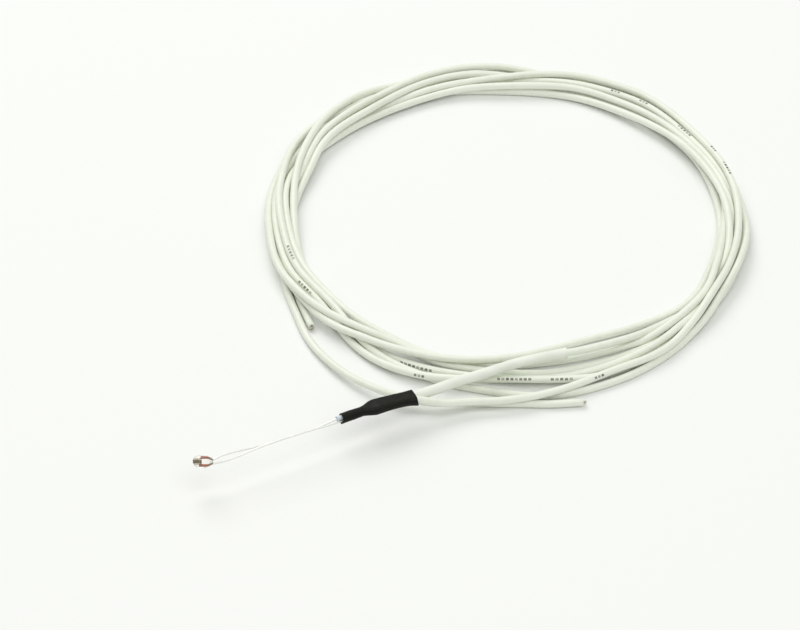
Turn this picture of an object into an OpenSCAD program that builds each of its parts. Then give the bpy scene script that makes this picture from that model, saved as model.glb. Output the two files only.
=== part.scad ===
// Glass-bead thermistor on two long insulated wires, wound into a loose coil.
// Millimetres. The origin is the middle of the glass bead, +X runs from the
// bead's tip to its neck, and +Z is up. The table lies bead_h below the origin.

/* [Bead] */
// Diameter of the glass bead
bead_d = 2.1; // [1.9:0.1:2.4]
// Length of the bead's straight middle band
band_l = 1.0; // [0.8:0.1:1.2]
// Length of the rounded tip in front of the band
tip_l = 1.25; // [1.1:0.05:1.5]
// Length of the taper from the band to the neck
taper_l = 1.4; // [1.2:0.1:1.8]
// Diameter of the glass at the neck, where the leads come out
neck_d = 1.2; // [1.1:0.1:1.4]
// Height of the bead's axis above the table
bead_h = 6.0; // [5.8:0.1:6.4]

/* [Sensing chip] */
// Length of the chip along the bead
chip_l = 1.2; // [1.0:0.1:1.3]
// Width of the chip across the bead
chip_w = 1.0; // [0.8:0.1:1.1]
// Thickness of the chip between its two silvered faces
chip_t = 0.5; // [0.4:0.05:0.55]
// Thickness of each silver layer
silver_t = 0.03; // [0.02:0.01:0.05]

/* [Bare leads] */
// Diameter of each bare lead
lead_d = 0.35; // [0.3:0.05:0.4]
// Distance from the bead's neck to the mouth of the heat-shrink tube
lead_span = 23.2; // [22.5:0.1:24]
// Angle in plan between the bead and the rest of the probe
head_yaw = 27; // [25:1:29]
// Slope of the probe, down from the bead towards the wires
head_droop = 2; // [1:0.5:3]

/* [Heat-shrink tube] */
// Length of the heat-shrink tube
shrink_l = 14.1; // [13.7:0.1:14.5]
// Wall thickness of the heat-shrink tube
shrink_wall = 0.2; // [0.15:0.01:0.2]
// Outer radius of the tube's thin end, and of its rounded sides
shrink_r = 0.87; // [0.87:0.01:0.92]

/* [Wires] */
// Outer diameter of each insulated wire
wire_d = 1.3; // [1.2:0.05:1.3]
// Diameter of the stranded conductor
core_d = 0.6; // [0.5:0.05:0.65]
// Outer diameter of the white sleeve on the first wire
sleeve_d = 1.8; // [1.7:0.05:1.8]

/* [Coil] */
// Inner radius of the wound coil
coil_r_in = 37.4; // [37:0.1:38]
// Outer radius of the wound coil
coil_r_out = 42.9; // [42.5:0.1:43.2]
// Height of the wound coil
coil_h = 2.6; // [2.4:0.1:2.6]

/* [Hidden] */

// The two leads lie one above the other as seen from the front and above, so
// the chip and the leads are rolled about the probe's axis.
roll = 45;
// The two wires lie nearly side by side, rolled a little.
pair_roll = -4;
neck_x = band_l / 2 + taper_l;
chip_x0 = -1.25;
lead_x0 = -0.4;
lead_off = chip_t / 2 + silver_t + lead_d / 2;
neck_off = 0.33;
neck_bend_x = 1.1;
neck_turn_x = neck_x - 0.25;
t_mouth = lead_span;
t_end = lead_span + shrink_l;
// Where the joints and the wires begin, measured from the neck
t_joint0 = 28.6;
t_joint1 = 31.0;
t_wire = 32.0;
// Centre of the coil on the table
coil_c = [51.5, 66];

// The probe's own axis: t along it from the neck, then two offsets, p at the
// roll angle and q a quarter turn on.
ax = [cos(head_yaw) * cos(head_droop), sin(head_yaw) * cos(head_droop), -sin(head_droop)];
side_ax = [-sin(head_yaw), cos(head_yaw), 0];
up_ax = cross(ax, side_ax);
function off_at(a, d) = d * (cos(a) * side_ax + sin(a) * up_ax);
function head(t, p, q) = [neck_x, 0, 0] + t * ax + off_at(roll, p) + off_at(roll + 90, q);
// How far the heat-shrink tube's middle stands off the axis
function mid_at(t) = lookup(t, [[22, 0.26], [23.2, 0.28], [27, 0.36], [30, 0.4], [33, 0.3], [35.5, 0], [37.3, -0.3], [40, -0.8]]);
function mid(t) = head(t, mid_at(t), 0);
// How far each side of the tube stands from that middle. The wires start to
// part in the tube's end, where the sleeve on one of them needs more room.
function spread_at(t) = t > 35 ? wire_d / 2 + (t - 35) * 0.055
    : wire_d / 2 * (t < 26.8 ? 0 : t > 29.6 ? 1 : (1 - cos(180 * (t - 26.8) / 2.8)) / 2);
function wire_at(t, s) = mid(t) + off_at(pair_roll, s * max(wire_d / 2, spread_at(t)));

function unit(v) = v / norm(v);
function along(p, i) = unit(p[min(i + 1, len(p) - 1)] - p[max(i - 1, 0)]);
function level(t) = unit(cross([0, 0, 1], t));
function spline(a, b, c, d, u) = 0.5 * (2 * b + (c - a) * u + (2 * a - 5 * b + 4 * c - d) * u * u + (3 * b - a - 3 * c + d) * u * u * u);
// A smooth line through the points, with n steps between each two
function smooth(p, n) = concat([for (i = [0:len(p) - 2], k = [0:n - 1])
    spline(p[max(i - 1, 0)], p[i], p[i + 1], p[min(i + 2, len(p) - 1)], k / n)], [p[len(p) - 1]]);
function ring(p, i, r, n) = let (t = along(p, i), a = level(t), b = cross(t, a))
    [for (k = [0:n - 1]) p[i] + r * (cos(360 * (k + 0.5) / n) * a + sin(360 * (k + 0.5) / n) * b)];
function skin(m, n, o, flip) = [for (i = [0:m - 2], k = [0:n - 1])
    let (a = o + i * n + k, b = o + i * n + (k + 1) % n, c = b + n, d = a + n)
    flip ? [d, c, b, a] : [a, b, c, d]];
function fan(n, o, flip) = [flip ? [for (k = [n - 1:-1:0]) o + k] : [for (k = [0:n - 1]) o + k]];

// A solid tube along a line of points
module tube(p, r, n) {
    m = len(p);
    polyhedron(points = [for (i = [0:m - 1]) each ring(p, i, r, n)],
        faces = concat(skin(m, n, 0, true), fan(n, 0, false), fan(n, (m - 1) * n, true)));
}

// A hollow shell from two stacks of m rings of n points each
module shell(outer, inner, m, n) {
    o = m * n;
    e = (m - 1) * n;
    polyhedron(points = concat(outer, inner),
        faces = concat(skin(m, n, 0, true), skin(m, n, o, false),
            [for (k = [0:n - 1]) [k, (k + 1) % n, o + (k + 1) % n, o + k]],
            [for (k = [0:n - 1]) [o + e + k, o + e + (k + 1) % n, e + (k + 1) % n, e + k]]));
}

// A round rod between two points
module rod(a, b, d) {
    v = b - a;
    translate(a) rotate([0, acos(v[2] / norm(v)), atan2(v[1], v[0])]) cylinder(h = norm(v), d = d, $fn = 24);
}

module in_bead() { rotate([roll, 0, 0]) children(); }

// Lead inside the glass: straight beside the chip, then in towards the neck
function lead_glass(s) = [for (w = [[lead_x0, lead_off], [neck_bend_x, lead_off], [neck_turn_x, neck_off],
    [neck_x, neck_off], [neck_x + 0.15, neck_off]]) [w[0], s * w[1] * cos(roll), s * w[1] * sin(roll)]];

// Offsets p and q of a bare lead along the probe. Both leads bow apart behind
// the bead, run close one behind the other, and part again at the tube.
lead_bow = [[1.2, 0.48, 0.0], [2.6, 0.5, -0.02], [4.2, 0.42, -0.07], [6.4, 0.24, -0.14],
            [8.8, 0.06, -0.2], [12, 0.0, -0.21], [15, 0.0, -0.21], [18, 0.03, -0.2]];
lead_line_a = concat([lead_glass(1)[4]],
    [for (w = lead_bow) head(w[0], w[1], w[2])],
    [head(20.5, 0.24, -0.1), head(t_mouth - 0.9, 0.46, 0), head(t_mouth + 1.4, 0.5, 0), head(26, 0.52, -0.1)],
    [wire_at(t_joint0, 1), wire_at(t_joint0 + 1.2, 1)]);
lead_line_b = concat([lead_glass(-1)[4]],
    [for (w = lead_bow) head(w[0], -w[1], -w[2])],
    [head(20.5, -0.14, 0.12), head(t_mouth - 0.9, -0.16, 0), head(t_mouth + 1.4, -0.18, 0), head(26, -0.14, 0.04)],
    [wire_at(t_joint0, -1), wire_at(t_joint0 + 1.2, -1)]);

// Points of the wires' routes: x, y and the height above the table
function at(p) = [p[0], p[1], p[2] - bead_h];
route_a = [[38.5, 18, 4.4], [42, 20.5, 4.2], [45.5, 23, 3.9], [49, 25, 3.7],
           [52.5, 26.5, 3.6], [56, 27.5, 3.6], [59.5, 28.5, 3.6],
           [63, 29.5, 3.4], [66.5, 31, 3.1], [70, 33, 2.6], [73.5, 35, 2]];
route_b = [[37.5, 16.5, 3.8], [40, 17, 3], [44, 18, 2.4], [48.5, 18.5, 2.1],
           [52, 19, 2.1], [55.5, 20, 1.9], [59, 21.5, 1.8], [62.5, 23.5, 1.8],
           [66, 26, 1.8], [70, 29, 1.8]];
route_c = [[14.5, 54.5, 0.8], [12.5, 47.5, 0.7], [13.5, 44.5, 0.7], [14.5, 41.5, 0.7],
           [15.5, 37.5, 0.7], [17.5, 33, 0.8], [19.5, 30, 1.1], [23, 25.5, 1.6],
           [26.5, 22.5, 1.9], [29, 21, 2], [32.5, 19.5, 1.9], [37.5, 18.5, 1.5],
           [44, 19, 1], [49, 19, 0.7], [52.5, 19, 0.7], [57.5, 19, 0.7], [63, 19.5, 0.7]];
route_d = [[14.5, 46.5, 0.7], [15, 44.5, 0.7], [16, 41.5, 0.7], [17, 38.5, 0.7]];
line_a = smooth(concat([wire_at(t_wire, 1), wire_at(t_wire + 2.5, 1), wire_at(t_end, 1)], [for (p = route_a) at(p)]), 1);
line_b = smooth(concat([wire_at(t_wire, -1), wire_at(t_wire + 2.5, -1), wire_at(t_end, -1)], [for (p = route_b) at(p)]), 1);
line_c = smooth([for (p = route_c) at(p)], 1);
line_d = [for (p = route_d) at(p)];
// The sleeve covers this stretch of the first wire's line
sleeve_line = concat([line_a[2] + 0.25 * unit(line_a[3] - line_a[2])], [for (i = [3:9]) line_a[i]]);

module coil_solid() {
    c = 0.7;
    translate([coil_c[0], coil_c[1], -bead_h]) rotate_extrude($fn = 180)
        polygon([[coil_r_in, c], [coil_r_in + c, 0], [coil_r_out - c, 0], [coil_r_out, c],
                 [coil_r_out, coil_h - c], [coil_r_out - c, coil_h], [coil_r_in + c, coil_h], [coil_r_in, coil_h - c]]);
}

module glass_solid() {
    n = 10;
    r = bead_d / 2;
    rn = neck_d / 2;
    h = band_l / 2;
    rotate([0, 90, 0]) rotate_extrude($fn = 64)
        polygon(concat(
            [for (i = [0:n]) [i == 0 ? 0 : r * sin(90 * i / n), -h - tip_l * cos(90 * i / n)]],
            [[r, h]],
            [for (i = [1:n]) [rn + (r - rn) * (1 + cos(180 * i / n)) / 2, h + taper_l * i / n]],
            [[0, h + taper_l]]));
}

module chip_block() {
    in_bead() translate([chip_x0, -chip_t / 2, -chip_w / 2]) cube([chip_l, chip_t, chip_w]);
}

module silver_layer(s) {
    in_bead() translate([chip_x0, s > 0 ? chip_t / 2 : -chip_t / 2 - silver_t, -chip_w / 2]) cube([chip_l, silver_t, chip_w]);
}

module bare_lead(line, s) {
    tube(concat([for (i = [0:3]) lead_glass(s)[i]], smooth(line, 2)), lead_d / 2, 12);
}

module joint(s) {
    difference() {
        rod(wire_at(t_joint0, s), wire_at(t_joint1, s), 0.9);
        rod(wire_at(t_joint0 - 0.5, s), wire_at(t_joint0 + 1.2, s), lead_d + 0.06);
        rod(wire_at(t_joint0 + 1.2, s), wire_at(t_joint1 + 0.5, s), core_d);
    }
}

module core(s) {
    rod(wire_at(t_joint0 + 1.2, s), wire_at(t_wire, s), core_d);
}

module core_end(line) {
    m = len(line) - 1;
    d = unit(line[m] - line[m - 1]);
    rod(line[m], line[m] + 0.3 * d, core_d);
}

module glass_bead() {
    color("lightcyan", 0.4) difference() {
        glass_solid();
        chip_block();
        silver_layer(1);
        silver_layer(-1);
        tube(lead_glass(1), lead_d / 2, 12);
        tube(lead_glass(-1), lead_d / 2, 12);
    }
}
module sensing_chip() { color("darkolivegreen") chip_block(); }
module silver_face_a() {
    color("silver") silver_layer(1);
}
module silver_face_b() {
    color("silver") silver_layer(-1);
}
module bare_lead_a() { color("lightgray") bare_lead(lead_line_a, 1); }
module bare_lead_b() { color("lightgray") bare_lead(lead_line_b, -1); }
module inner_sleeve() {
    q = smooth([head(t_mouth - 0.7, 0.46, 0), head(t_mouth + 1.4, 0.5, 0), head(26, 0.52, -0.1)], 2);
    m = len(q);
    n = 16;
    color("aliceblue") shell([for (i = [0:m - 1]) each ring(q, i, 0.42, n)], [for (i = [0:m - 1]) each ring(q, i, 0.24, n)], m, n);
}
module solder_joint_a() { color("gray") joint(1); }
module solder_joint_b() { color("gray") joint(-1); }
module core_a() { color("peru") core(1); }
module core_b() { color("peru") core(-1); }
module heat_shrink_tube() {
    n = 32;
    ts = [t_mouth, 24.5, 26, 26.8, 27.3, 27.8, 28.3, 28.9, 29.6, 31, 33, 35, t_end];
    m = len(ts);
    color([0.08, 0.08, 0.08]) shell(
        [for (t = ts) for (k = [0:n - 1]) mid(t) + shrink_section(t, shrink_r, k, n)],
        [for (t = ts) for (k = [0:n - 1]) mid(t) + shrink_section(t, shrink_r - shrink_wall, k, n)], m, n);
}
// One point of the tube's section: two half circles set apart by the two wires
function shrink_section(t, r, k, n) = let (a = 360 * (k + 0.5) / n)
    off_at(pair_roll, r * cos(a) + sign(cos(a)) * spread_at(t)) + off_at(pair_roll + 90, r * sin(a));
module outer_sleeve() {
    m = len(sleeve_line);
    n = 8;
    color("white") shell([for (i = [0:m - 1]) each ring(sleeve_line, i, sleeve_d / 2, n)],
        [for (i = [0:m - 1]) each ring(sleeve_line, i, wire_d / 2 + 0.03, n)], m, n);
}
module wire_a_lead() { color("ivory") difference() { tube(line_a, wire_d / 2, 8); coil_solid(); } }
module wire_b_lead() { color("ivory") difference() { tube(line_b, wire_d / 2, 8); coil_solid(); } }
module wire_coil() { color("ivory") coil_solid(); }
module wire_a_tail() { color("ivory") difference() { tube(line_c, wire_d / 2, 8); coil_solid(); } }
module wire_b_tail() { color("ivory") difference() { tube(line_d, wire_d / 2, 8); coil_solid(); } }
module core_end_a() { color("peru") core_end(line_c); }
module core_end_b() { color("peru") core_end(line_d); }

glass_bead();
sensing_chip();
silver_face_a();
silver_face_b();
bare_lead_a();
bare_lead_b();
inner_sleeve();
solder_joint_a();
solder_joint_b();
core_a();
core_b();
heat_shrink_tube();
outer_sleeve();
wire_a_lead();
wire_b_lead();
wire_coil();
wire_a_tail();
wire_b_tail();
core_end_a();
core_end_b();
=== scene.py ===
import math
import bmesh
import bpy
import numpy as np
from mathutils import Matrix, Vector, noise


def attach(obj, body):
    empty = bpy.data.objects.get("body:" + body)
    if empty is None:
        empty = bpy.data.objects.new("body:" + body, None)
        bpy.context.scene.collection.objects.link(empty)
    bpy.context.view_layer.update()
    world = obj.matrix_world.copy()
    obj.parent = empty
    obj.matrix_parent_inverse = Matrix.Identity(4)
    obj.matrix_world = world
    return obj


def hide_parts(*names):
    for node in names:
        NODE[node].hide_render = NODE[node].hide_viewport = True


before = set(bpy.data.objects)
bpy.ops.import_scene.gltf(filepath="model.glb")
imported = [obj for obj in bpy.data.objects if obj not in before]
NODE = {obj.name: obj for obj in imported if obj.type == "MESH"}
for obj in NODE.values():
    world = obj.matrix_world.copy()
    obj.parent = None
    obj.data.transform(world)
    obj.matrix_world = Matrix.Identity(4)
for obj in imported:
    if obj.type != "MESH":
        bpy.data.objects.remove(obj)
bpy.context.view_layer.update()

MM = 0.001
TABLE_Z = -6.0                    # the table's height in the row frame, mm

# ---------------------------------------------------------------- camera
cam_data = bpy.data.cameras.new("camera")
cam_data.sensor_width = 36.0
cam_data.lens = 156.07
cam_data.clip_start, cam_data.clip_end = 0.05, 20.0
camera = bpy.data.objects.new("camera", cam_data)
camera.location = (0.03223, -0.403585, 0.395478)
camera.rotation_euler = (math.radians(48.0), 0.0, 0.0)
bpy.context.scene.collection.objects.link(camera)
bpy.context.scene.camera = camera

# ---------------------------------------------------------------- the two wires
WIRE_D = 1.3
CENTRE = (51.5, 66.0)             # middle of the coil on the table
B, M, T = 0.65, 1.8, 2.9          # height of a wire's middle in the lowest, the second and the third layer

LEAD_A = [(38.5, 19, 4.4), (42, 21.1, 4.2), (45.5, 22.85, 3.9), (49, 24.7, 3.7), (52.5, 26.4, 3.6), (56, 27.5, 3.6),
          (59.5, 28.5, 3.6), (63, 29.5, 3.4), (66.5, 31, 3.1), (70, 33, 2.6), (73.5, 35, 2.0)]
LEAD_B = [(37.5, 16.5, 3.8), (40, 17, 3), (44, 18, 2.4), (48.5, 18.5, 2.1), (52, 19, 2.1), (55.5, 20, 1.9),
          (60.5, 22, 1.8), (66, 25, 1.8), (70.5, 27.5, 1.8)]
TAIL_LONG = [(12.5, 47.5, 0.7), (13.5, 44.5, 0.7), (14.5, 41.5, 0.7), (15.5, 37.5, 0.7), (17.5, 33, 0.8), (19.5, 30, 1.1),
             (23, 25.5, 1.6), (26.5, 22.5, 1.9), (29, 21, 2.0), (32.5, 19.5, 1.9), (37.5, 18.5, 1.5), (44, 19.3, 1.0),
             (49, 19.35, 0.7), (52.5, 19.3, 0.7), (57.5, 19.2, 0.7), (63, 19.6, 0.7)]
TAIL_SHORT = [(14.5, 46.5, 0.7), (15, 44.5, 0.7), (16, 41.5, 0.7), (17, 38.5, 0.7)]
# The turns of the coil. Each row is the angle round the coil, the radius and
# the height above the table. Angles run on from 290 to 650, which is 290 again.
TURN_A1 = [(312, 37.8, 1.5), (320, 38.6, 1.0), (328, 39.2, 0.7), (337, 39.4, 0.9), (345, 39.4, 1.4), (353, 39.1, 2.0),
           (361, 38.7, 2.5), (369, 38.4, 2.5), (378, 38.1, 2.1), (387, 38.2, 2.0), (395, 38.0, 1.8), (406, 37.6, 1.6),
           (416, 37.6, 1.2), (428, 38.2, 0.8), (440, 37.9, B), (451, 37.8, B), (461, 38.6, B), (472, 39.8, B), (482, 40.6, B),
           (494, 41.4, B), (507, 42.6, B), (515, 42.9, B), (523, 43.0, B), (531, 42.7, 0.9), (539, 42.2, 1.4), (547, 41.8, M),
           (554, 41.9, M), (562, 41.7, M), (571, 40.2, M), (578, 40.0, 1.1), (584, 41.0, B), (590, 42.2, B), (597, 43.1, 0.7),
           (603, 43.6, 1.2), (611, 43.5, 1.4), (617, 42.9, 1.7), (622, 42.1, 1.7), (628, 41.6, 1.5), (637, 41.9, 1.5),
           (642, 42.2, 1.2), (651, 42.8, B)]
TURN_A2 = [(297, 42.5, B), (304, 41.9, B), (312, 41.3, B), (320, 40.9, B), (329, 41.0, B), (338, 41.1, B), (346, 41.1, B),
           (354, 41.2, B), (361, 41.3, B), (369, 41.1, 0.8), (377, 41.0, 1.3), (385, 40.6, 1.7), (399, 40.8, 1.7),
           (411, 41.6, M), (419, 41.2, M), (430, 41.2, 1.6), (441, 40.8, 1.2), (451, 41.0, B), (461, 41.5, B), (471, 42.2, B),
           (482, 42.8, B), (494, 43.7, B), (504, 44.6, 1.0), (509, 44.5, 1.5), (517, 44.0, M), (524, 42.8, 2.0),
           (531, 42.4, 1.9), (539, 41.3, M), (547, 40.6, M), (554, 40.5, M), (563, 40.1, M), (570, 39.0, M), (579, 38.6, 1.5),
           (586, 39.8, 1.3), (592, 41.2, 1.1), (598, 42.0, 0.8), (603, 42.4, B), (611, 42.8, B), (617, 43.4, B), (623, 43.6, B),
           (628, 44.2, B), (633, 45.0, B), (638, 45.3, B), (642, 45.2, B), (648, 44.8, B), (653, 44.5, B)]
TURN_A3 = [(297, 44.3, B), (304, 43.3, B), (312, 42.5, B), (322, 41.9, 0.7), (330, 41.3, 1.3), (338, 41.7, 1.5),
           (346, 41.9, 1.4), (354, 42.2, 1.1), (361, 42.4, 0.8), (369, 42.4, B), (377, 42.5, B), (386, 42.8, B), (399, 43.4, B),
           (411, 44.0, B), (419, 44.0, B), (430, 43.8, B), (441, 43.2, B), (451, 43.2, B), (461, 43.2, B), (471, 43.6, B),
           (479, 44.4, 0.8), (486, 44.8, 1.3), (494, 44.2, 1.9), (501, 43.6, 2.4), (508, 42.3, 2.6), (515, 41.3, 2.4),
           (523, 40.4, 2.0), (531, 39.3, M), (539, 38.8, 1.5), (547, 38.5, 1.0), (555, 38.4, B), (564, 38.4, B), (571, 38.8, B),
           (578, 39.4, B), (585, 39.8, B), (592, 40.4, B), (598, 41.1, B), (602, 41.0, B), (610, 40.9, B), (617, 40.6, B),
           (627, 40.6, B), (636, 40.9, B), (644, 41.0, B), (651, 40.9, B)]
TURN_A4 = [(297, 40.9, 0.8), (303, 41.2, 1.2), (309, 41.2, 1.6), (314, 40.7, M), (320, 40.4, M), (329, 40.6, 1.6),
           (338, 40.2, 1.0), (346, 40.2, B), (354, 40.2, B), (361, 40.5, B), (369, 40.7, B), (377, 40.9, B), (386, 41.4, B),
           (399, 41.8, B), (411, 42.3, B), (419, 42.4, B), (430, 42.3, B), (440, 42.4, 0.8), (445, 42.9, 1.5), (449, 43.5, 1.9),
           (453, 43.9, M), (461, 44.2, M), (470, 43.6, M), (482, 42.0, M), (491, 41.8, M), (500, 41.8, M), (507, 41.6, M),
           (515, 40.6, 1.5), (523, 40.3, 0.8), (531, 40.3, B), (539, 40.7, B), (546, 41.3, B), (552, 41.9, B), (558, 42.5, B)]
TURN_B1 = [(303, 43.4, M), (308, 43.2, M), (314, 42.2, M), (322, 41.0, 2.2), (329, 40.5, 2.7), (338, 40.5, 2.2),
           (346, 40.6, 1.9), (354, 40.9, 1.9), (361, 41.2, 1.9), (369, 41.8, M), (377, 41.9, M), (385, 41.9, M), (402, 42.7, M),
           (413, 43.7, M), (421, 43.4, M), (431, 43.1, 1.9), (441, 41.5, 1.9), (451, 40.0, 1.9), (461, 39.4, M), (472, 39.6, 1.5),
           (482, 39.6, 0.8), (494, 40.2, B), (507, 41.2, B), (515, 41.6, B), (523, 41.7, B), (531, 41.9, B), (539, 42.2, B),
           (547, 42.6, 0.7), (555, 42.9, 1.2), (563, 42.8, M), (571, 42.4, M), (579, 42.4, M), (584, 42.0, M), (589, 41.0, M),
           (595, 40.4, M), (600, 39.8, M), (608, 39.0, M), (616, 38.3, M), (626, 37.0, M), (632, 35.9, 1.5), (638, 34.6, 1.1),
           (645, 33.5, B), (652, 33.3, B)]
TURN_B2 = [(297, 33.4, B), (303, 34.3, B), (309, 35.0, B), (315, 36.0, B), (322, 37.0, B), (328, 37.6, B), (336, 36.9, B),
           (344, 36.6, B), (350, 36.9, B), (356, 37.4, B), (362, 38.0, B), (370, 38.4, B), (378, 38.6, B), (386, 38.9, B),
           (399, 39.0, B), (411, 39.0, B), (419, 39.2, B), (430, 39.5, B), (441, 39.2, B), (451, 39.0, B), (461, 39.9, B),
           (472, 41.0, B), (482, 41.7, B), (494, 42.6, B), (507, 43.9, B), (515, 44.1, B), (523, 44.2, B), (531, 44.0, 0.7),
           (539, 43.5, 1.2), (547, 43.1, M), (553, 43.3, 1.9), (561, 43.5, 2.2), (568, 42.9, 2.8), (576, 42.3, T), (582, 41.2, T),
           (587, 40.2, 2.8), (593, 39.4, 2.6), (600, 38.4, 2.1), (605, 38.5, 1.2), (610, 39.2, 0.7), (617, 38.8, B),
           (627, 39.1, B), (636, 39.7, B), (644, 39.8, B), (652, 39.5, B)]
TURN_B3 = [(297, 39.5, B), (303, 39.5, B), (309, 39.4, B), (315, 39.2, B), (322, 39.4, B), (329, 39.8, B), (338, 39.3, B),
           (346, 39.0, 0.9), (354, 39.6, 1.2), (361, 39.9, 1.5), (369, 39.8, 1.7), (377, 39.9, M), (386, 39.4, M), (398, 39.4, M),
           (409, 39.6, M), (418, 39.3, M), (430, 39.7, M), (440, 38.6, M), (451, 38.0, 1.7), (462, 38.9, 1.0), (472, 38.6, B),
           (482, 38.4, B), (494, 38.9, B), (507, 40.0, B), (515, 40.8, 0.9), (523, 41.5, 1.4), (531, 41.0, M), (539, 39.9, M),
           (547, 39.3, M), (555, 38.9, 1.7), (562, 38.6, 1.5), (568, 37.8, 1.2), (575, 37.2, 1.0), (582, 37.3, 0.9),
           (588, 37.0, 0.9), (594, 36.7, 0.7), (601, 37.2, B), (608, 37.5, B), (617, 37.4, B), (627, 37.4, B), (637, 36.9, B),
           (645, 36.9, B), (652, 37.0, B)]
TURN_B4 = [(298, 37.1, B), (304, 37.8, 0.9), (310, 38.3, 1.4), (316, 38.8, M), (322, 39.1, 1.9), (329, 39.4, M), (337, 38.7, M),
           (345, 38.1, M), (353, 37.9, 1.7), (361, 38.6, 1.1), (369, 39.4, B), (377, 39.7, B), (386, 40.1, B), (399, 40.3, B),
           (411, 40.5, B), (419, 40.7, B), (430, 40.9, B), (436, 41.2, B), (443, 41.8, B), (449, 42.2, 0.9), (455, 42.2, 1.4),
           (461, 42.0, M), (471, 41.3, 1.9), (482, 39.9, 1.9), (491, 39.5, M), (500, 39.9, M), (507, 40.4, 1.6), (515, 39.9, 1.0),
           (523, 39.3, B), (531, 39.2, B), (539, 39.4, B), (546, 39.8, B), (553, 40.4, B), (560, 41.0, B)]


def polar(rows):
    out = []
    for a, r, h in rows:
        # the bundle is slimmer at its left and at its right
        left = max(0.0, math.cos(math.radians(min(90.0, abs(a % 360 - 178) * 1.7))))
        right = max(0.0, math.cos(math.radians(min(90.0, abs((a + 175) % 360 - 180) * 2.0))))
        r += left * (-0.65 - 0.15 * (r - 41.2)) - right * 0.33 * (r - 39.9)
        out.append((CENTRE[0] + r * math.cos(math.radians(a)), CENTRE[1] + r * math.sin(math.radians(a)), h))
    return out


def smooth_line(points, step):
    """A smooth line through the points, cut into equal steps."""
    p = np.array(points, float)
    p = np.vstack([2 * p[0] - p[1], p, 2 * p[-1] - p[-2]])
    out = []
    for i in range(1, len(p) - 2):
        a, b, c, d = p[i - 1:i + 3]
        t = np.cumsum([0] + [max(1e-6, np.linalg.norm(q - r)) ** 0.5 for q, r in ((b, a), (c, b), (d, c))])
        for u in np.linspace(t[1], t[2], 12, endpoint=False):
            a1 = (t[1] - u) / (t[1] - t[0]) * a + (u - t[0]) / (t[1] - t[0]) * b
            a2 = (t[2] - u) / (t[2] - t[1]) * b + (u - t[1]) / (t[2] - t[1]) * c
            a3 = (t[3] - u) / (t[3] - t[2]) * c + (u - t[2]) / (t[3] - t[2]) * d
            b1 = (t[2] - u) / (t[2] - t[0]) * a1 + (u - t[0]) / (t[2] - t[0]) * a2
            b2 = (t[3] - u) / (t[3] - t[1]) * a2 + (u - t[1]) / (t[3] - t[1]) * a3
            out.append((t[2] - u) / (t[2] - t[1]) * b1 + (u - t[1]) / (t[2] - t[1]) * b2)
    out.append(p[-2])
    out = np.array(out)
    along = np.r_[0, np.cumsum(np.linalg.norm(np.diff(out, axis=0), axis=1))]
    at = np.linspace(0, along[-1], int(round(along[-1] / step)) + 1)
    return np.stack([np.interp(at, along, out[:, k]) for k in range(3)], 1)


def even(u, ends, s):
    """Evens the moves out along each wire."""
    k = np.exp(-0.5 * (np.arange(-8, 9) / s) ** 2); k /= k.sum()
    out = np.empty_like(u)
    for a, b in zip(ends, ends[1:]):
        for c in range(3):
            out[a:b, c] = np.convolve(np.pad(u[a:b, c], 8, mode="edge"), k, mode="valid")
    return out


def ease(line, s):
    """Takes the small corners out of a drawn line; its first and last stretch stay."""
    k = np.exp(-0.5 * (np.arange(-12, 13) / s) ** 2); k /= k.sum()
    soft = np.stack([np.convolve(np.pad(line[:, c], 12, mode="edge"), k, mode="valid") for c in range(3)], 1)
    w = np.clip((np.minimum(np.arange(len(line)), np.arange(len(line))[::-1]) - 14) / 20, 0, 1)[:, None]
    return line * (1 - w) + soft * w


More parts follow.
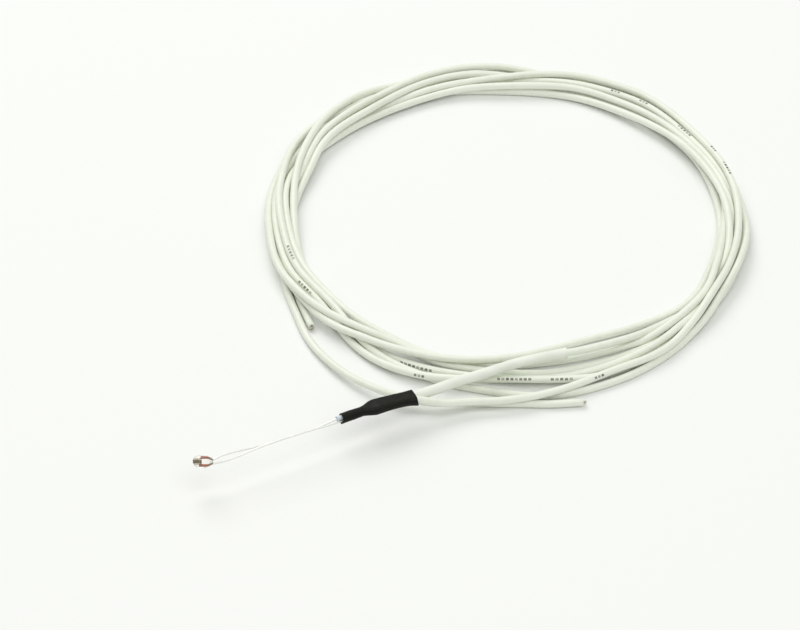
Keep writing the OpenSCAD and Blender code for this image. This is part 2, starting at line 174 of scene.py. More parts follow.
SIGHT = np.array([0.0, math.cos(math.radians(42)), -math.sin(math.radians(42))])
def settle(lines, held, d, rounds=300, keep=0.25):
    """Moves the wires' points a little, until the wires touch but don't pass
    through each other or the table, and lie on what is below them. Seen from
    the camera they keep their drawn place, and give way along the line of sight.
    held gives how many points keep their place at each end."""
    n = [len(l) for l in lines]
    x0 = np.vstack(lines)
    x = x0.copy()
    own = np.repeat(np.arange(len(n)), n)
    idx = np.concatenate([np.arange(k) for k in n])
    ends = np.cumsum([0] + n)
    hold = np.zeros(len(x))
    for w, (lo, hi) in enumerate(held):
        s, e = ends[w], ends[w + 1]
        hold[s:s + lo] = 1
        hold[e - hi:e] = 1
        hold[s + lo:s + lo + 12] = np.linspace(1, 0, 12)
        hold[e - hi - 12:e - hi] = np.linspace(0, 1, 12)
    free = (1 - hold)[:, None]
    for it in range(rounds):
        late = it > rounds * 0.8
        tangent = np.zeros_like(x)
        for s, e in zip(ends, ends[1:]):
            tangent[s:e] = np.gradient(x[s:e], axis=0)
        tangent /= np.linalg.norm(tangent, axis=1)[:, None]
        if it % 8 == 0:
            near = []
            for k in range(0, len(x), 400):
                i, j = np.nonzero(((x[k:k + 400, None] - x[None]) ** 2).sum(2) < 2.6 ** 2)
                i += k
                ok = (j > i) & ((own[i] != own[j]) | (abs(idx[i] - idx[j]) > 6))
                near.append(np.stack([i[ok], j[ok]], 1))
            pairs = np.vstack(near)
        i, j = pairs.T
        v = x[j] - x[i]
        along = (v * tangent[i]).sum(1)
        v = v - along[:, None] * tangent[i]
        far = np.linalg.norm(v, axis=1)
        hit = (abs(along) < 0.62) & (far < d)
        i, j, v, far = i[hit], j[hit], v[hit], far[hit]
        flat = far < 1e-3
        v[flat] = [0, 0, 1]
        far[flat] = 1
        push = v / far[:, None] * ((d - far) * 0.5)[:, None]
        move = np.zeros_like(x)
        count = np.zeros(len(x))
        np.add.at(move, i, -push)
        np.add.at(move, j, push)
        np.add.at(count, i, 1)
        np.add.at(count, j, 1)
        move /= np.maximum(count, 1)[:, None]
        u = x - x0 + free * move * 1.3
        if not late:
            t0 = tangent
            side = np.cross(t0, SIGHT)
            side /= np.maximum(np.linalg.norm(side, axis=1), 1e-6)[:, None]
            off = (u * side).sum(1)
            u -= (keep * off)[:, None] * side
            if it < rounds * 0.6:
                u[:, 2] -= free[:, 0] * 0.01
        u = 0.5 * u + 0.5 * even(u, ends, 1.8 if late else 3.2)
        u *= free ** 0.5
        x = x0 + u
        x[:, 2] = np.maximum(x[:, 2], d / 2)
    return [x[s:e] for s, e in zip(ends, ends[1:])]


HEAD_A = [(33.2, 16.5, 4.75), (34.7, 17.2, 4.5)]
HEAD_B = [(33.6, 15.5, 4.85), (35.2, 16.1, 4.6)]
line_a = smooth_line(HEAD_A + LEAD_A + polar(TURN_A1 + TURN_A2 + TURN_A3 + TURN_A4) + TAIL_LONG, 1.0)
line_b = smooth_line(HEAD_B + LEAD_B + polar(TURN_B1 + TURN_B2 + TURN_B3 + TURN_B4) + TAIL_SHORT, 1.0)
line_a, line_b = settle([ease(line_a, 3.0), ease(line_b, 3.0)], [(52, 70), (46, 8)], WIRE_D)


def line_length(line):
    return float(np.linalg.norm(np.diff(line, axis=0), axis=1).sum()) * MM


# ---------------------------------------------------------------- node-based materials
class Nodes:
    """Small helper: makes a material's nodes and links them."""

    def __init__(self, name):
        self.m = bpy.data.materials.new(name)
        self.m.use_nodes = True
        self.t = self.m.node_tree
        self.b = self.t.nodes["Principled BSDF"]

    def add(self, kind, inputs=None, **settings):
        n = self.t.nodes.new(kind)
        for k, v in settings.items():
            setattr(n, k, v)
        for k, v in (inputs or {}).items():
            if isinstance(v, bpy.types.NodeSocket):
                self.t.links.new(v, n.inputs[k])
            else:
                n.inputs[k].default_value = v
        return n

    def maths(self, op, *values):
        return self.add("ShaderNodeMath", {i: v for i, v in enumerate(values)}, operation=op).outputs[0]

    def ramp(self, value, stops):
        n = self.add("ShaderNodeValToRGB", {0: value})
        e = n.color_ramp.elements
        while len(e) < len(stops):
            e.new(0.5)
        for el, (at, c) in zip(e, stops):
            el.position = at
            el.color = (*c, 1) if len(c) == 3 else c
        return n.outputs[0]

    def noise(self, scale, detail=3.0, rough=0.55, vector=None):
        if vector is None:
            vector = self.add("ShaderNodeTexCoord").outputs["Object"]
        return self.add("ShaderNodeTexNoise", {"Vector": vector, "Scale": scale, "Detail": detail, "Roughness": rough}).outputs[0]

    def bump(self, height, strength, distance):
        n = self.add("ShaderNodeBump", {"Height": height, "Strength": strength, "Distance": distance})
        self.t.links.new(n.outputs[0], self.b.inputs["Normal"])

    def put(self, **values):
        for k, v in values.items():
            k = k.replace("_", " ")
            if isinstance(v, bpy.types.NodeSocket):
                self.t.links.new(v, self.b.inputs[k])
            else:
                self.b.inputs[k].default_value = v
        return self


def mat_wire():
    """Off-white insulation: faint mottling, slight dirt, and short printed dashes."""
    n = Nodes("wire_insulation")
    mott = n.noise(900, 4)
    patch = n.noise(60, 3)
    mix = n.maths("ADD", n.maths("MULTIPLY", mott, 0.35), n.maths("MULTIPLY", patch, 0.65))
    base = n.ramp(mix, [(0.30, (0.745, 0.780, 0.665)), (0.55, (0.825, 0.853, 0.758)), (0.75, (0.855, 0.876, 0.795))])
    uv = n.add("ShaderNodeUVMap", uv_map="along").outputs[0]
    sep = n.add("ShaderNodeSeparateXYZ", {0: uv})
    u, v = sep.outputs[0], sep.outputs[1]          # u in metres x 10, v once round
    # plain dashes 0.8 mm apart, in a narrow band where v is 0; the mesh says where along the wire
    gap = n.ramp(n.maths("ABSOLUTE", n.maths("SUBTRACT", n.maths("FRACT", n.maths("DIVIDE", u, 0.0078)), 0.5)), [(0.30, (1, 1, 1)), (0.38, (0, 0, 0))])
    ink = n.add("ShaderNodeTexWhiteNoise", {"W": n.maths("FLOOR", n.maths("DIVIDE", u, 0.0078))}, noise_dimensions="1D").outputs[0]
    band = n.ramp(n.maths("ABSOLUTE", v), [(0.042, (1, 1, 1)), (0.064, (0, 0, 0))])
    worn = n.ramp(n.noise(1600, 2), [(0.33, (0.78, 0.78, 0.78)), (0.47, (1, 1, 1))])
    faded = n.maths("ADD", 0.55, n.maths("MULTIPLY", ink, 0.40))
    mark = n.maths("MULTIPLY", gap, n.maths("MULTIPLY", n.maths("MULTIPLY", band, faded), worn))
    colour = n.add("ShaderNodeMix", {0: mark, 6: base, 7: (0.085, 0.075, 0.045, 1)}, data_type="RGBA").outputs[2]
    n.put(Base_Color=colour, Roughness=n.ramp(patch, [(0.3, (0.33,) * 3), (0.7, (0.45,) * 3)]), Subsurface_Weight=0.0, IOR=1.47)
    n.bump(n.maths("ADD", n.noise(2500, 2), n.maths("MULTIPLY", n.noise(350, 2), 2.0)), 0.25, 0.00003)
    return n.m


def mat_sleeve():
    """White woven-look sleeve pulled over the first wire."""
    n = Nodes("white_sleeve")
    patch = n.noise(220, 4)
    base = n.ramp(patch, [(0.3, (0.775, 0.797, 0.71)), (0.6, (0.85, 0.868, 0.79)), (0.8, (0.875, 0.887, 0.825))])
    n.put(Base_Color=base, Roughness=0.5, Sheen_Weight=0.15, Sheen_Roughness=0.5)
    n.bump(n.maths("ADD", n.noise(1800, 3), n.maths("MULTIPLY", n.noise(300, 2), 2.5)), 0.4, 0.00005)
    return n.m


def mat_shrink():
    """Black heat-shrink tube: soft sheen, grain, a little dust on its high spots."""
    n = Nodes("black_shrink")
    dust = n.noise(900, 5, 0.7)
    base = n.ramp(dust, [(0.35, (0.0045, 0.0044, 0.0028)), (0.62, (0.0080, 0.0078, 0.0050)), (0.84, (0.026, 0.025, 0.018))])
    rough = n.ramp(n.noise(350, 3), [(0.3, (0.36,) * 3), (0.7, (0.56,) * 3)])
    n.put(Base_Color=base, Roughness=rough, Specular_IOR_Level=0.16)
    n.bump(n.maths("ADD", n.maths("MULTIPLY", n.noise(1500, 4), 0.6), n.noise(420, 3)), 0.5, 0.00008)
    return n.m


def mat_glass():
    """Clear glass with a faint tint and a few shallow waves."""
    n = Nodes("clear_glass")
    n.put(Base_Color=(0.995, 0.968, 0.935, 1), Roughness=0.015, IOR=1.5, Transmission_Weight=1.0)
    n.bump(n.noise(500, 1), 0.08, 0.00005)
    return n.m


def mat_chip():
    n = Nodes("chip_ceramic")
    base = n.ramp(n.noise(2500, 4), [(0.3, (0.15, 0.12, 0.058)), (0.55, (0.27, 0.215, 0.115)), (0.8, (0.44, 0.35, 0.22))])
    n.put(Base_Color=base, Roughness=0.6)
    n.bump(n.noise(5000, 4), 0.4, 0.00003)
    return n.m


def mat_metal(name, low, high, rough, scale=2500, metal=1.0):
    n = Nodes(name)
    spots = n.noise(scale, 4)
    n.put(Base_Color=n.ramp(spots, [(0.3, low), (0.7, high)]), Metallic=metal,
          Roughness=n.ramp(n.noise(scale * 0.4, 3), [(0.3, (rough * 0.8,) * 3), (0.7, (min(1, rough * 1.3),) * 3)]))
    n.bump(spots, 0.25, 0.00002)
    return n.m


def mat_lead():
    """The lead's finish changes along it: silver paste beside the chip, copper red
    inside the glass, dull at the glass's neck, and bright and pale outside."""
    n = Nodes("lead_metal")
    pos = n.add("ShaderNodeTexCoord").outputs["Object"]
    x = n.maths("DIVIDE", n.maths("ADD", n.add("ShaderNodeSeparateXYZ", {0: pos}).outputs[0], 0.002), 0.006)
    hue = n.ramp(x, [(0.235, (0.86, 0.72, 0.62)), (0.262, (0.47, 0.150, 0.085)), (0.500, (0.52, 0.185, 0.10)),
                     (0.530, (0.38, 0.34, 0.26)), (0.610, (0.46, 0.44, 0.37)), (0.660, (0.92, 0.92, 0.88))])
    spots = n.noise(3500, 3)
    shade = n.ramp(spots, [(0.3, (0.86, 0.86, 0.86)), (0.7, (1.0, 1.0, 1.0))])
    colour = n.add("ShaderNodeMix", {0: 1.0, 6: hue, 7: shade}, data_type="RGBA", blend_type="MULTIPLY").outputs[2]
    n.put(Base_Color=colour, Metallic=n.ramp(x, [(0.50, (0.25,) * 3), (0.70, (0.45,) * 3)]),
          Roughness=n.ramp(spots, [(0.3, (0.34,) * 3), (0.7, (0.48,) * 3)]))
    n.bump(n.noise(2500, 3), 0.25, 0.00002)
    return n.m


def mat_pale():
    """Bluish-white translucent sleeve on the leads at the black tube's mouth."""
    n = Nodes("pale_sleeve")
    base = n.ramp(n.noise(1200, 3), [(0.3, (0.68, 0.77, 0.86)), (0.7, (0.84, 0.89, 0.94))])
    n.put(Base_Color=base, Roughness=0.28, Transmission_Weight=0.15, IOR=1.4)
    n.bump(n.noise(1500, 2), 0.2, 0.00003)
    return n.m


WIRE, SLEEVE, SHRINK, GLASS, CHIP, LEAD, PALE = mat_wire(), mat_sleeve(), mat_shrink(), mat_glass(), mat_chip(), mat_lead(), mat_pale()
SILVER = mat_metal("silver", (0.88, 0.80, 0.70), (0.97, 0.92, 0.85), 0.45, metal=0.1)
SOLDER = mat_metal("solder", (0.50, 0.50, 0.50), (0.68, 0.68, 0.68), 0.4, 900)
COPPER = mat_metal("tinned_strands", (0.56, 0.50, 0.42), (0.80, 0.76, 0.68), 0.36)


# ---------------------------------------------------------------- mesh helpers, all in mm
def new_piece(name, verts, faces, material, smooth=True, lift=0.0):
    mesh = bpy.data.meshes.new(name)
    mesh.from_pydata([(x * MM, y * MM, (z + lift) * MM) for x, y, z in verts], [], faces)
    mesh.validate()
    for p in mesh.polygons:
        p.use_smooth = smooth
    bm = bmesh.new()
    bm.from_mesh(mesh)
    bmesh.ops.recalc_face_normals(bm, faces=bm.faces)
    bm.to_mesh(mesh)
    bm.free()
    mesh.materials.append(material)
    ob = bpy.data.objects.new(name, mesh)
    bpy.context.scene.collection.objects.link(ob)
    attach(ob, "root")
    return ob


def frames(line):
    """Tangent, level and cross directions along a line."""
    t = np.gradient(line, axis=0)
    t /= np.linalg.norm(t, axis=1)[:, None]
    a = np.cross([0, 0, 1.0], t)
    a /= np.maximum(np.linalg.norm(a, axis=1), 1e-9)[:, None]
    return t, a, np.cross(t, a)


def rings(line, radius, n, wobble=None):
    """One ring of n points round each point of the line. radius is a number, or
    one for each point; wobble(i, angle) is added to it."""
    t, a, b = frames(line)
    out = []
    for i, p in enumerate(line):
        r0 = radius if np.isscalar(radius) else radius[i]
        for k in range(n):
            w = 2 * math.pi * k / n
            r = r0 + (wobble(i, w) if wobble else 0.0)
            out.append(p + r * (math.cos(w) * a[i] + math.sin(w) * b[i]))
    return out


def skin(m, n, offset=0):
    return [(offset + i * n + k, offset + i * n + (k + 1) % n, offset + (i + 1) * n + (k + 1) % n, offset + (i + 1) * n + k)
            for i in range(m - 1) for k in range(n)]


def solid_tube(name, line, radius, n, material, lift=0.0, wobble=None, round_ends=0.12):
    """A closed tube whose ends are rounded off."""
    line = np.array(line, float)
    m = len(line)
    t, _, _ = frames(line)
    r = np.full(m, radius) if np.isscalar(radius) else np.array(radius, float)
    first = [line[0] - t[0] * r[0] * round_ends * s for s in (1.0, 0.6)]
    last = [line[-1] + t[-1] * r[-1] * round_ends * s for s in (0.6, 1.0)]
    line2 = np.vstack([first, line, last])
    r2 = np.r_[r[0] * 0.80, r[0] * 0.95, r, r[-1] * 0.95, r[-1] * 0.80]
    verts = rings(line2, r2, n, (lambda i, w: wobble(min(max(i - 2, 0), m - 1), w)) if wobble else None)
    mm = len(line2)
    faces = skin(mm, n) + [tuple(range(n))[::-1], tuple((mm - 1) * n + k for k in range(n))]
    return new_piece(name, verts, faces, material, lift=lift)


def hollow_tube(name, outer, inner, m, n, material, lift=0.0):
    o = m * n
    faces = skin(m, n) + [f[::-1] for f in skin(m, n, o)]
    e = (m - 1) * n
    faces += [(k, o + k, o + (k + 1) % n, (k + 1) % n) for k in range(n)]
    faces += [(e + k, e + (k + 1) % n, o + e + (k + 1) % n, o + e + k) for k in range(n)]
    ob = new_piece(name, list(outer) + list(inner), faces, material, lift=lift)
    sharp = ob.data.attributes.new("sharp_edge", "BOOLEAN", "EDGE")
    rim = {frozenset(((k), (k + 1) % n)) for k in range(n)} | {frozenset((e + k, e + (k + 1) % n)) for k in range(n)}
    for i, ed in enumerate(ob.data.edges):
        if frozenset(ed.vertices) in rim:
            sharp.data[i].value = True
    return ob


def wavy(x, y, z, scale, seed):
    return noise.noise(Vector((x * scale + seed, y * scale - seed, z * scale + 2 * seed)))


# ---------------------------------------------------------------- the probe's own axis
YAW, DROOP, ROLL, PAIR = math.radians(27), math.radians(2), math.radians(45), math.radians(-4)
AX = np.array([math.cos(YAW) * math.cos(DROOP), math.sin(YAW) * math.cos(DROOP), -math.sin(DROOP)])
SIDE = np.array([-math.sin(YAW), math.cos(YAW), 0.0])
UP = np.cross(AX, SIDE)
NECK_X, LEAD_OFF, NECK_OFF = 1.9, 0.455, 0.33
MIDS = np.array([[22, 0.26], [23.2, 0.28], [27, 0.36], [30, 0.4], [33, 0.3], [35.5, 0], [37.3, -0.3], [40, -0.8]])


def off_at(a, d):
    return d * (math.cos(a) * SIDE + math.sin(a) * UP)


def probe(t, p, q):
    return np.array([NECK_X, 0, 0]) + t * AX + off_at(ROLL, p) + off_at(ROLL + math.pi / 2, q)


def mid(t):
    return probe(t, np.interp(t, MIDS[:, 0], MIDS[:, 1]), 0)


def spread(t):
    if t > 35:
        return 0.65 + (t - 35) * 0.055
    return 0.65 * (0 if t < 26.8 else 1 if t > 29.6 else (1 - math.cos(math.pi * (t - 26.8) / 2.8)) / 2)


def wire_at(t, s):
    return mid(t) + off_at(PAIR, s * max(0.65, spread(t)))


# ---------------------------------------------------------------- the two insulated wires
# Groups of plain dashes that the camera sees: middle in the picture, length in
# picture points, and how far round the wire from facing the camera.
MARKS = [(512, 379, 31, 0.0), (559, 377, 29, 0.0), (596, 372, 12, 0.02), (415, 363, 38, 0.06), (420, 373, 18, 0.05),
         (288, 256, 26, -0.03), (309, 286, 24, 0.0), (618, 92, 8, 0.1), (645, 104, 14, 0.1), (686, 130, 26, 0.1),
         (709, 151, 14, 0.1), (724, 171, 24, 0.08)]


def seen(line):
    """Where the camera sees the points of a line that is given in heights above the table, and how far off."""
    d = (np.array(line) + [0, 0, TABLE_Z]) * MM - np.array(camera.location)
    w = math.radians(48)
    far = d @ [0, math.sin(w), -math.cos(w)]
    size = cam_data.lens / 36 * 800 / far
    return 400 + d[:, 0] * size, 315 - (d @ [0, math.cos(w), math.sin(w)]) * size, far


def place_marks(lines):
    """For each wire, the (start, end, angle) of its groups of dashes, start and end in mm along it."""
    out = [[], []]
    views = [seen(l) for l in lines]
    arcs = [np.r_[0, np.cumsum(np.linalg.norm(np.diff(l, axis=0), axis=1))] for l in lines]
    facing = []
    for l in lines:
        _, a, b = frames(l)
        to = np.array([0, -math.sin(math.radians(48)), math.cos(math.radians(48))])
        facing.append(np.arctan2(b @ to, a @ to) / (2 * math.pi))
    for x, y, length, turn in MARKS:
        best = None
        for w, (px, py, far) in enumerate(views):
            d = np.hypot(px - x, py - y)
            for i in np.nonzero(d < 5.0)[0]:
                score = far[i] * 1000 + 0.35 * d[i]
                if best is None or score < best[0]:
                    best = (score, w, i)
        if best:
            _, w, i = best
            half = length / 6.1 / 2
            out[w].append((arcs[w][i] - half, arcs[w][i] + half, facing[w][i] + turn))
    # and groups on the far side of the wires, here and there
    random = np.random.RandomState(7)
    for w in (0, 1):
        at = 60.0
        while at < arcs[w][-1] - 60:
            for start in (at, at + 7.8):
                i = int(np.searchsorted(arcs[w], start + 2.4))
                if all(start > e + 2 or start + 4.8 < s - 2 for s, e, _ in out[w]):
                    out[w].append((start, start + 4.8, facing[w][i] + 0.5 + random.uniform(-0.14, 0.14)))
            at += random.uniform(55, 90)
        out[w].sort()
    return out


def make_wire(name, line, marks):
    n = 16
    m = len(line)
    t, a, b = frames(line)
    verts = rings(line, WIRE_D / 2, n, lambda i, w: 0.006 * wavy(*line[i], 0.35, 3.0))
    faces = skin(m, n)
    # cut ends: a flat ring of insulation round the conductor
    base = len(verts)
    for i, s in ((0, -1), (m - 1, 1)):
        for r, out in ((0.60, 0.035), (0.31, 0.03), (0.30, -0.25)):
            verts += [line[i] + s * out * t[i] + r * (math.cos(2 * math.pi * k / n) * a[i] + math.sin(2 * math.pi * k / n) * b[i]) for k in range(n)]
    for e, (edge, s) in enumerate(((0, -1), ((m - 1) * n, 1))):
        o = base + e * 3 * n
        for lo, hi in ((edge, o), (o, o + n), (o + n, o + 2 * n)):
            faces += [((lo + k, lo + (k + 1) % n, hi + (k + 1) % n, hi + k) if s > 0 else (lo + k, hi + k, hi + (k + 1) % n, lo + (k + 1) % n)) for k in range(n)]
        faces.append(tuple(o + 2 * n + k for k in range(n)))
    ob = new_piece(name, verts, faces, WIRE, lift=TABLE_Z)
    # where there are dashes, u runs along the wire in whole dashes, and v goes round it and is 0 in the dashes' middle
    along = np.r_[0, np.cumsum(np.linalg.norm(np.diff(line, axis=0), axis=1))]
    group = {}
    for s, e, angle in marks:
        i0, i1 = (int(np.argmin(abs(along - q))) for q in (s, e))
        i1 = max(i1, i0 + 2)
        dashes = round((along[i1] - along[i0]) / 0.78)
        for i in range(i0, i1):
            group[i] = (i0, i1, dashes, angle)
    uv = ob.data.uv_layers.new(name="along")
    for poly in ob.data.polygons:
        ks = [ob.data.loops[l].vertex_index for l in poly.loop_indices]
        first = min(k // n for k in ks)
        if any(k >= base for k in ks) or first not in group:
            for l in poly.loop_indices:
                uv.data[l].uv = (0.0, 6.0)
            continue
        i0, i1, dashes, angle = group[first]
        vs = [((k % n) / n - angle + 0.5) % 1.0 - 0.5 for k in ks]
        if max(vs) - min(vs) > 0.5:
            vs = [v + 1.0 if v < 0 else v for v in vs]
        for l, k, v in zip(poly.loop_indices, ks, vs):
            uv.data[l].uv = ((along[k // n] - along[i0]) / (along[i1] - along[i0]) * dashes * 0.0078, v)
    return ob


marks_a, marks_b = place_marks([line_a, line_b])
wire_a = make_wire("insulated_wire_a", line_a, marks_a)
wire_b = make_wire("insulated_wire_b", line_b, marks_b)


def make_strands(name, line):
    """The stranded conductor that stands out of a cut end."""
    d = line[-1] - line[-4]
    d /= np.linalg.norm(d)
    a = np.cross([0, 0, 1.0], d)
    a /= np.linalg.norm(a)
    b = np.cross(d, a)
    verts, faces = [], []
    n = 8
    for s in range(13):
        ringed = s > 0
        r0 = 0.0 if not ringed else (0.125 if s < 5 else 0.235)
        w0 = 2 * math.pi * (s / 4 if s < 5 else (s - 5) / 8)
        length = 0.48 + 0.10 * math.sin(s * 2.4)
        pts = []
        for k in range(9):
            u = k / 8
            w = w0 + 1.1 * u
            pts.append(line[-1] + d * (-0.35 + (0.35 + length) * u) + (r0 + 0.03 * u * u * (1 + math.sin(s * 1.7))) * (math.cos(w) * a + math.sin(w) * b))
        pts = np.array(pts)
        o = len(verts)
        verts += rings(pts, 0.058, n)
        faces += skin(len(pts), n, o) + [tuple(o + k for k in range(n))[::-1], tuple(o + (len(pts) - 1) * n + k for k in range(n))]
    return new_piece(name, verts, faces, COPPER, lift=TABLE_Z)


ends_a = make_strands("strands_a", line_a)
ends_b = make_strands("strands_b", line_b)
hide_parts("core_end_a")
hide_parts("core_end_b")

# ---------------------------------------------------------------- white sleeve over the first wire
first = int(np.argmin(np.linalg.norm(line_a + [0, 0, TABLE_Z] - wire_at(36.4, 1), axis=1)))
last = int(np.argmin(np.linalg.norm(line_a[:80] - [60.2, 28.7, 3.6], axis=1)))
core_line = smooth_line(line_a[first:last + 1], 0.3)
m, n = len(core_line), 28
u = np.linspace(0, 1, m)
r_out = 0.89 - 0.10 * np.exp(-(u / 0.05) ** 2) + 0.02 * np.sin(u * 23) * np.sin(u * 9 + 1) + 0.05 * np.exp(-((1 - u) / 0.012) ** 2)
out_r = rings(core_line, r_out, n, lambda i, w: 0.022 * wavy(*(core_line[i] + [math.cos(w), math.sin(w), 0]), 0.55, 7.0) + 0.012 * wavy(*(core_line[i] + [math.cos(w), math.sin(w), 0]), 2.2, 2.0))
in_r = rings(core_line, np.maximum(r_out - 0.2, 0.665), n)
sleeve = hollow_tube("white_sleeve", out_r, in_r, m, n, SLEEVE, lift=TABLE_Z)
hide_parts("outer_sleeve")

for w, nodes in ((wire_a, ("wire_a_lead", "wire_coil", "wire_a_tail")), (wire_b, ("wire_b_lead", "wire_b_tail"))):
    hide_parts(*nodes)

# ---------------------------------------------------------------- black heat-shrink tube
ts = np.linspace(23.2, 36.95, 110)
m, n = len(ts), 56
swell = np.interp(ts, [23.2, 23.6, 25.5, 27.6, 28.6, 29.8, 31.2, 32.6, 34.0, 35.4, 36.4, 36.95],
                  [0.90, 0.87, 0.86, 0.85, 0.90, 0.94, 0.90, 0.845, 0.88, 0.93, 1.00, 1.03])
swell = np.convolve(np.pad(swell, 3, mode="edge"), np.ones(7) / 7, mode="valid")


def shrink_ring(t, r, k, depth):
    w = 2 * math.pi * (k + 0.5) / n
    s = spread(t)
    c = math.cos(w)
    # the tube clings to the two wires, and dips between them
    dip = 0.16 * max(0.0, s / 0.65 - 0.2) * abs(math.sin(w)) ** 6
    p = np.array([t, 3 * math.cos(w), 3 * math.sin(w)])
    ripple = 0.035 * wavy(*p, 0.5, 4.0) + 0.020 * wavy(*p, 1.3, 9.0) + 0.016 * wavy(p[0] * 1.2, p[1] * 4, p[2] * 4, 0.35, 5.0)
    slim = 0.25 * max(0.0, min(1.0, (t - 33.0) / 2.5)) * max(0.0, min(1.0, -1.4 * c - 0.5))
    wide = 0.05 * max(0.0, min(1.0, (t - 35.4) / 0.8)) * max(0.0, c)
    rr = r - dip * depth + ripple - slim + wide
    return mid(t) + off_at(PAIR, rr * c + s * math.tanh(c * 3.2)) + off_at(PAIR + math.pi / 2, rr * math.sin(w))


def cut(t, k, i):
    """The two ends aren't cut quite square."""
    w = 2 * math.pi * (k + 0.5) / n
    a = math.exp(-((t - 23.2) / 0.5) ** 2) * (0.16 * math.cos(w - 1.1) + 0.05 * math.sin(3 * w))
    b = math.exp(-((t - 36.95) / 0.9) ** 2) * (0.10 * math.cos(w + 2.2) + 0.06 * math.sin(2 * w + 1) - 0.40 * max(0.0, -math.cos(w)))
    return t + a + b


outer = [shrink_ring(cut(t, k, i), swell[i], k, 1.0) for i, t in enumerate(ts) for k in range(n)]
inner = [shrink_ring(cut(t, k, i), swell[i] - 0.13, k, 1.0) for i, t in enumerate(ts) for k in range(n)]
shrink = hollow_tube("heat_shrink", outer, inner, m, n, SHRINK)
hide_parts("heat_shrink_tube")

# ---------------------------------------------------------------- glass bead
profile = []
for i in range(21):
    w = math.pi / 2 * i / 20
    profile.append((-0.42 - 1.10 * math.cos(w), 1.05 * math.sin(w)))
profile += [(-0.25, 1.052), (0.0, 1.05), (0.25, 1.045), (0.5, 1.03)]
for i in range(1, 17):
    profile.append((0.5 + 1.2 * i / 16, 0.6 + 0.43 * (1 + math.cos(math.pi * i / 16)) / 2 - 0.10 * max(0, (i - 13) / 3)))
profile.append((1.76, 0.40))
profile.append((1.78, 0.0))
n = 64
verts = [np.array([profile[0][0], 0, 0])]
for x, r in profile[1:-1]:
    for k in range(n):
        w = 2 * math.pi * k / n
        rr = r * (1 + 0.012 * math.sin(2 * w + 1.3 * x) + 0.008 * math.cos(3 * w + x))
        verts.append(np.array([x, rr * math.cos(w), rr * math.sin(w)]))
verts.append(np.array([profile[-1][0], 0, 0]))
m = len(profile) - 2
faces = [(0, 1 + (k + 1) % n, 1 + k) for k in range(n)] + skin(m, n, 1)
faces += [(len(verts) - 1, 1 + (m - 1) * n + k, 1 + (m - 1) * n + (k + 1) % n) for k in range(n)]
bead = new_piece("bead_glass", verts, faces, GLASS)
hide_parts("glass_bead")


# ---------------------------------------------------------------- chip and its two silver faces, rolled about the bead's axis
def rounded_block(name, low, high, bevel, material, rough):
    """A block with rounded edges and slightly uneven faces, in the chip's own axes."""
    bm = bmesh.new()
    bmesh.ops.create_cube(bm, size=1.0)
    size = np.array(high) - np.array(low)
    middle = (np.array(high) + np.array(low)) / 2
    for v in bm.verts:
        v.co = Vector(middle + np.array(v.co) * size)
    bmesh.ops.bevel(bm, geom=bm.edges[:], offset=bevel, segments=3, profile=0.6, affect="EDGES")
    bmesh.ops.subdivide_edges(bm, edges=[e for e in bm.edges if e.calc_length() > 0.25], cuts=5, use_grid_fill=True)
    for v in bm.verts:
        p = np.array(v.co)
        v.co += v.normal * rough * wavy(*p, 6.0, 1.7)
    verts = []
    for v in bm.verts:
        x, y, z = v.co
        verts.append(np.array([x, y * math.cos(ROLL) - z * math.sin(ROLL), y * math.sin(ROLL) + z * math.cos(ROLL)]))
    faces = [tuple(v.index for v in f.verts) for f in bm.faces]
    bm.free()
    return new_piece(name, verts, faces, material)


chip = rounded_block("chip", (-1.25, -0.25, -0.5), (-0.05, 0.25, 0.5), 0.05, CHIP, 0.012)
face_a = rounded_block("chip_face_a", (-1.23, 0.25, -0.48), (-0.07, 0.283, 0.48), 0.012, SILVER, 0.004)
face_b = rounded_block("chip_face_b", (-1.23, -0.283, -0.48), (-0.07, -0.25, 0.48), 0.012, SILVER, 0.004)
for ob, node, slot in ((chip, "sensing_chip", "chip_ceramic"), (face_a, "silver_face_a", "silver"), (face_b, "silver_face_b", "silver")):
    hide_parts(node)

# ---------------------------------------------------------------- the two bare leads
BOW = [(1.2, 0.48, 0.0), (2.6, 0.5, -0.02), (4.2, 0.42, -0.07), (6.4, 0.24, -0.14), (8.8, 0.06, -0.2), (12, 0.0, -0.21),
       (15, 0.0, -0.21), (18, 0.03, -0.2)]


def lead_line(s):
    start = -0.24 if s > 0 else -0.44
    glass = [np.array([x, s * w * math.cos(ROLL), s * w * math.sin(ROLL)]) for x, w in
             ((start, LEAD_OFF), (0.0, LEAD_OFF), (0.4, LEAD_OFF), (0.95, LEAD_OFF), (1.48, NECK_OFF), (1.72, NECK_OFF), (1.92, NECK_OFF))]
    bow = [probe(t, s * p, s * q) for t, p, q in BOW]
    if s > 0:
        back = [probe(20.5, 0.24, -0.1), probe(22.3, 0.46, 0), probe(24.6, 0.5, 0), probe(26, 0.52, -0.1)]
    else:
        back = [probe(20.5, -0.14, 0.12), probe(22.3, -0.16, 0), probe(24.6, -0.18, 0), probe(26, -0.14, 0.04)]
    return smooth_line(glass + bow + back + [wire_at(28.6, s), wire_at(29.8, s)], 0.2)


for name, s in (("a", 1), ("b", -1)):
    line = lead_line(s)
    ob = solid_tube("lead_" + name, line, 0.165, 14, LEAD, wobble=lambda i, w, line=line: 0.004 * wavy(*line[i], 1.5, 5.0))
    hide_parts("bare_lead_" + name)

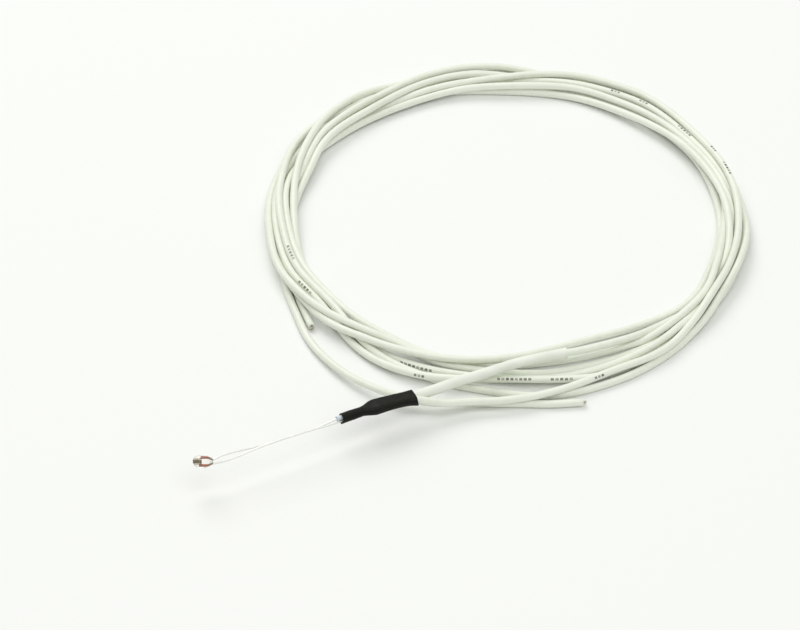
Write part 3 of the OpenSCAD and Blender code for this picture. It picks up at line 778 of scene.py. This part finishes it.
# ---------------------------------------------------------------- pale inner sleeve at the black tube's mouth
line = smooth_line([probe(22.45, 0.46, 0), probe(24.6, 0.5, 0), probe(26, 0.52, -0.1)], 0.12)
m, n = len(line), 28
r_out = 0.42 + 0.03 * np.exp(-(np.arange(m) / 2.0) ** 2)
pale = hollow_tube("inner_sleeve_pale", rings(line, r_out, n, lambda i, w: 0.012 * wavy(*(line[i] + [math.cos(w), math.sin(w), 0]), 1.4, 3.0)),
                   rings(line, r_out - 0.15, n), m, n, PALE)
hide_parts("inner_sleeve")

# ---------------------------------------------------------------- joints and conductors inside the black tube
for name, material in (("solder_joint_a", SOLDER), ("solder_joint_b", SOLDER), ("core_a", COPPER), ("core_b", COPPER)):
    for s in NODE[name].material_slots:
        s.material = material

# ---------------------------------------------------------------- floor and light
floor_mesh = bpy.data.meshes.new("floor")
s = 3.0
floor_mesh.from_pydata([(-s, -s, TABLE_Z * MM), (s, -s, TABLE_Z * MM), (s, s, TABLE_Z * MM), (-s, s, TABLE_Z * MM)], [], [(0, 1, 2, 3)])
floor = bpy.data.objects.new("floor", floor_mesh)
bpy.context.scene.collection.objects.link(floor)
floor_nodes = Nodes("floor")
floor_nodes.put(Base_Color=floor_nodes.ramp(floor_nodes.noise(6, 2), [(0.3, (0.872, 0.882, 0.866)), (0.7, (0.880, 0.886, 0.874))]),
                Roughness=0.75, Specular_IOR_Level=0.25)
floor.data.materials.append(floor_nodes.m)

bpy.context.scene.view_settings.view_transform = "Standard"
world = bpy.data.worlds.new("world")
bpy.context.scene.world = world
world.use_nodes = True
world.node_tree.nodes["Background"].inputs[0].default_value = (0.985, 1.0, 0.975, 1)
world.node_tree.nodes["Background"].inputs[1].default_value = 0.575


def area(name, where, size, power, colour=(1, 1, 1)):
    l = bpy.data.lights.new(name, "AREA")
    l.shape = "DISK"
    l.size = size
    l.energy = power
    l.color = colour
    o = bpy.data.objects.new(name, l)
    o.location = where
    aim = Vector((0.05, 0.06, -0.004)) - Vector(where)
    o.rotation_euler = aim.to_track_quat("-Z", "Y").to_euler()
    bpy.context.scene.collection.objects.link(o)
    return o


area("key", (-0.28, 0.68, 0.85), 0.80, 5.2, (1.0, 0.997, 0.985))
area("fill", (0.20, -0.26, 0.80), 0.80, 2.3, (1.0, 0.998, 0.985))
